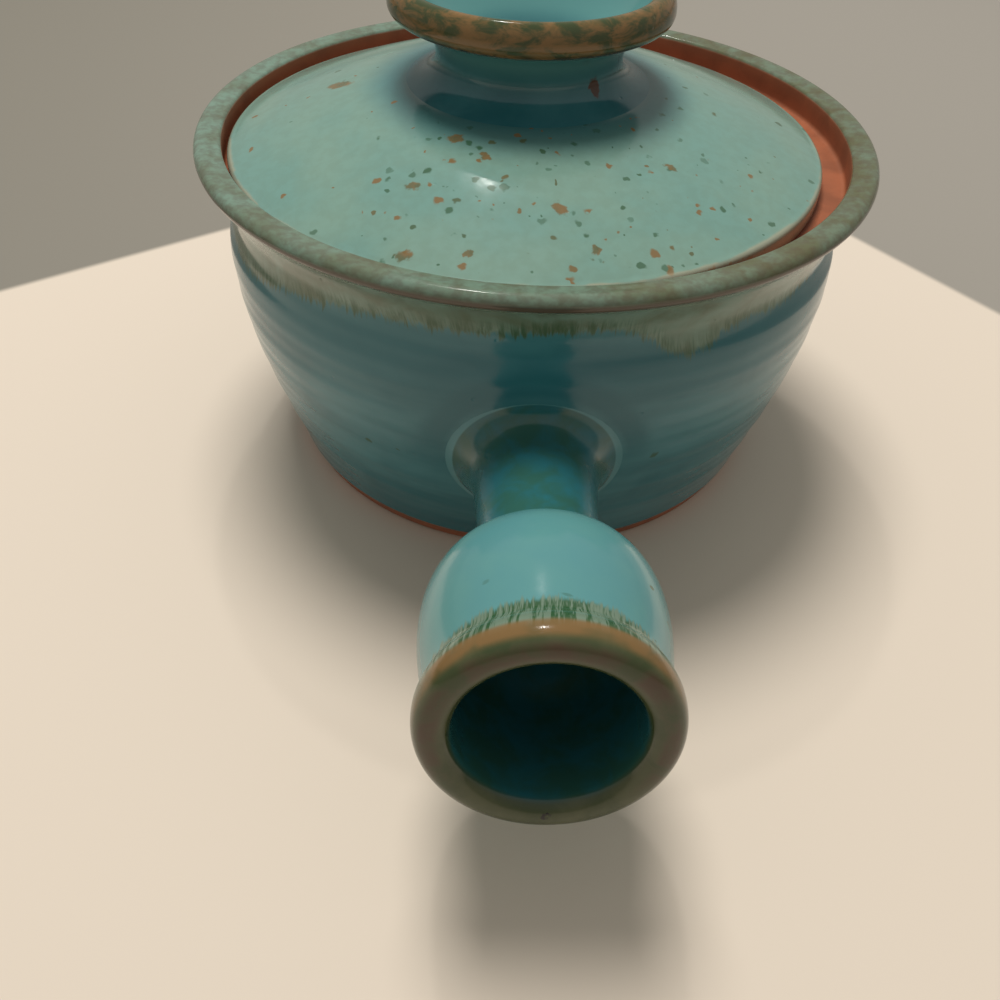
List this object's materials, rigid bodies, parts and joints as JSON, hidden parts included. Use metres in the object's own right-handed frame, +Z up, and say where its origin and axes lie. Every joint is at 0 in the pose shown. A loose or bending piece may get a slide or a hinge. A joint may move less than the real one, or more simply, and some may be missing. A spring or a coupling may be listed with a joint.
{
  "type": "lidded soup bowl",
  "caption": "Glazed earthenware soup bowl with a hollow flared side handle and a domed lift-off lid with a cup-shaped knob.",
  "frame": {"origin": "centre of the foot ring, on the plane that the bowl stands on", "axes": "+Z up along the bowl's axis; the handle points along -Y; +X is to the right of somebody looking along +Y at the handle's mouth"},
  "size_m": [0.14, 0.2035, 0.0995],
  "materials": {
    "bowl_glaze": "semi-gloss blue-green glaze over terracotta, brown where it breaks at the rim",
    "handle_glaze": "semi-gloss turquoise glaze, olive and brown on the rolled lip",
    "lid_glaze": "semi-gloss pale turquoise glaze with dark and tan specks"
  },
  "bodies": {
    "pot": {"bowl": "bowl_glaze", "handle": "handle_glaze", "handle_root_coil": "bowl_glaze"},
    "cover": {"lid": "lid_glaze", "knob": "lid_glaze"}
  },
  "joints": [
    {"name": "lid_lift", "type": "slide", "parent": "pot", "child": "cover", "axis": [0, 0, 1], "range_m": [0, 0.08]}
  ]
}
